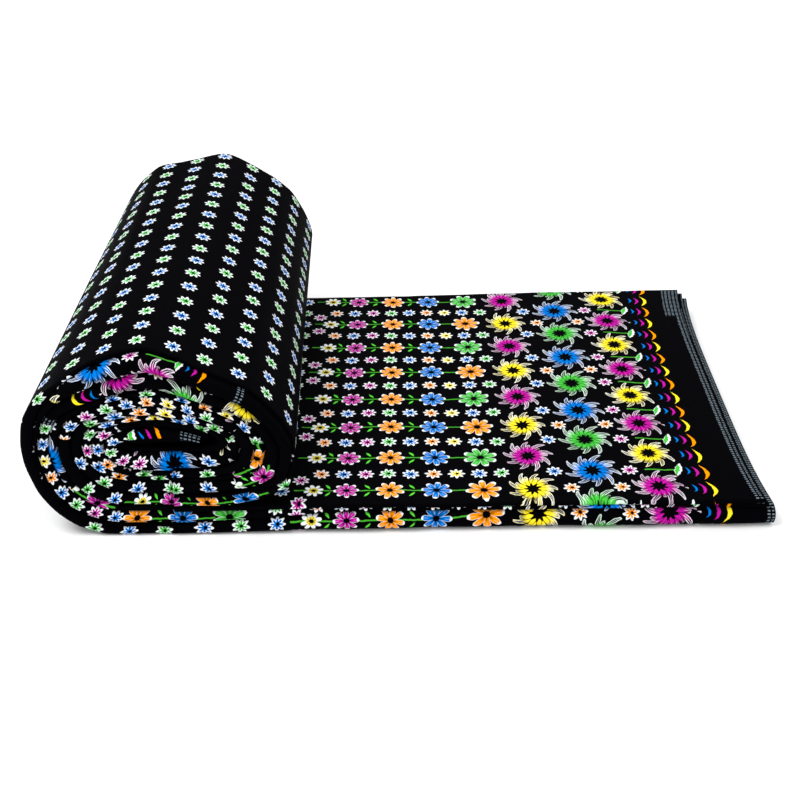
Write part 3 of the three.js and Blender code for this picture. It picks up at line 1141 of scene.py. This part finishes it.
for node, (fold, start, stop, set_back, _) in WOUND_BUNDLES.items():
    skin = node == "outer_turn_outer_folds"
    layers = ((0, SHOWN_STEPS), (1, HIDDEN_STEPS)) if skin else ((None, HIDDEN_STEPS),)
    shells = [shell_parts(*wound_walls(node, ply, steps)) for ply, steps in layers]
    way = way_along(fold, np.linspace(start, stop, 200))[-1]
    lay_cloth(node, shells)

for node, (fold, _) in LYING_BUNDLES.items():
    steps = SHOWN_STEPS if fold == "inner" else HIDDEN_STEPS
    shells = [shell_parts(*lying_walls(node, steps))]
    for inset, back_from_end in END_LAYERS[node]:
        shells.append(shell_parts(*lying_walls(node, HIDDEN_STEPS, inset, back_from_end,
                                               END_LAYER_REACH)))
    lay_cloth(node, shells)


# The ground's half width, and its height just under the cloth, in metres
GROUND_HALF, GROUND_Z = 6.0, -0.0004
# Lamps: name, place in metres, width in metres and power in watts
LAMPS = [
    ("key", (-0.9, -0.5, 1.6), 1.0, 22),
    ("fill", (1.3, -1.2, 1.2), 1.4, 12),
    ("back", (0.2, 1.6, 1.5), 1.2, 12),
]
LAMPS_AIM = Vector((0, 0, 0.05))


def floor():
    """A plain pale square of ground, wide enough to fill the view."""
    mesh = bpy.data.meshes.new("ground")
    corners = [(-1, -1), (1, -1), (1, 1), (-1, 1)]
    mesh.from_pydata([(x * GROUND_HALF, y * GROUND_HALF, GROUND_Z) for x, y in corners],
                     [], [(0, 1, 2, 3)])
    material = bpy.data.materials.new("pale_ground")
    material.use_nodes = True
    shader = material.node_tree.nodes["Principled BSDF"]
    shader.inputs["Base Color"].default_value = (0.93, 0.93, 0.93, 1)
    shader.inputs["Roughness"].default_value = 0.9
    shader.inputs["Specular IOR Level"].default_value = 0.1
    mesh.materials.append(material)
    ground = bpy.data.objects.new("ground", mesh)
    bpy.context.scene.collection.objects.link(ground)


def soft_light(name, place, width, power):
    """A round lamp turned towards the cloth."""
    lamp = bpy.data.lights.new(name, "AREA")
    lamp.shape = "DISK"
    lamp.size = width
    lamp.energy = power
    light = bpy.data.objects.new(name, lamp)
    light.location = place
    light.rotation_euler = (LAMPS_AIM - Vector(place)).to_track_quat("-Z", "Y").to_euler()
    bpy.context.scene.collection.objects.link(light)


def studio():
    """White light from all round, and the lamps."""
    world = bpy.data.worlds.new("studio")
    world.use_nodes = True
    world.node_tree.nodes["Background"].inputs["Color"].default_value = (1, 1, 1, 1)
    world.node_tree.nodes["Background"].inputs["Strength"].default_value = 0.75
    bpy.context.scene.world = world
    for lamp in LAMPS:
        soft_light(*lamp)
    bpy.context.scene.view_settings.view_transform = "Standard"


# The photo's camera: its place in metres, tilt below the horizon, turn towards +X, and lens
CAMERA_AT = (-0.0135, -0.9935, 0.582)
CAMERA_TILT = 30.0
CAMERA_TURN = 0.61
FOCAL_PIXELS = 1387.0
FRAME_PIXELS = 800.0
SENSOR_WIDTH = 36.0


def camera():
    """The view of the photo, with a lens as long as its focal length in pixels makes it."""
    lens = bpy.data.cameras.new("photo_view")
    lens.sensor_width = SENSOR_WIDTH
    lens.lens = FOCAL_PIXELS / FRAME_PIXELS * SENSOR_WIDTH
    lens.clip_start = 0.01
    view = bpy.data.objects.new("photo_view", lens)
    view.location = CAMERA_AT
    view.rotation_euler = (math.radians(90 - CAMERA_TILT), 0, math.radians(-CAMERA_TURN))
    bpy.context.scene.collection.objects.link(view)
    bpy.context.scene.camera = view


floor()
studio()
camera()
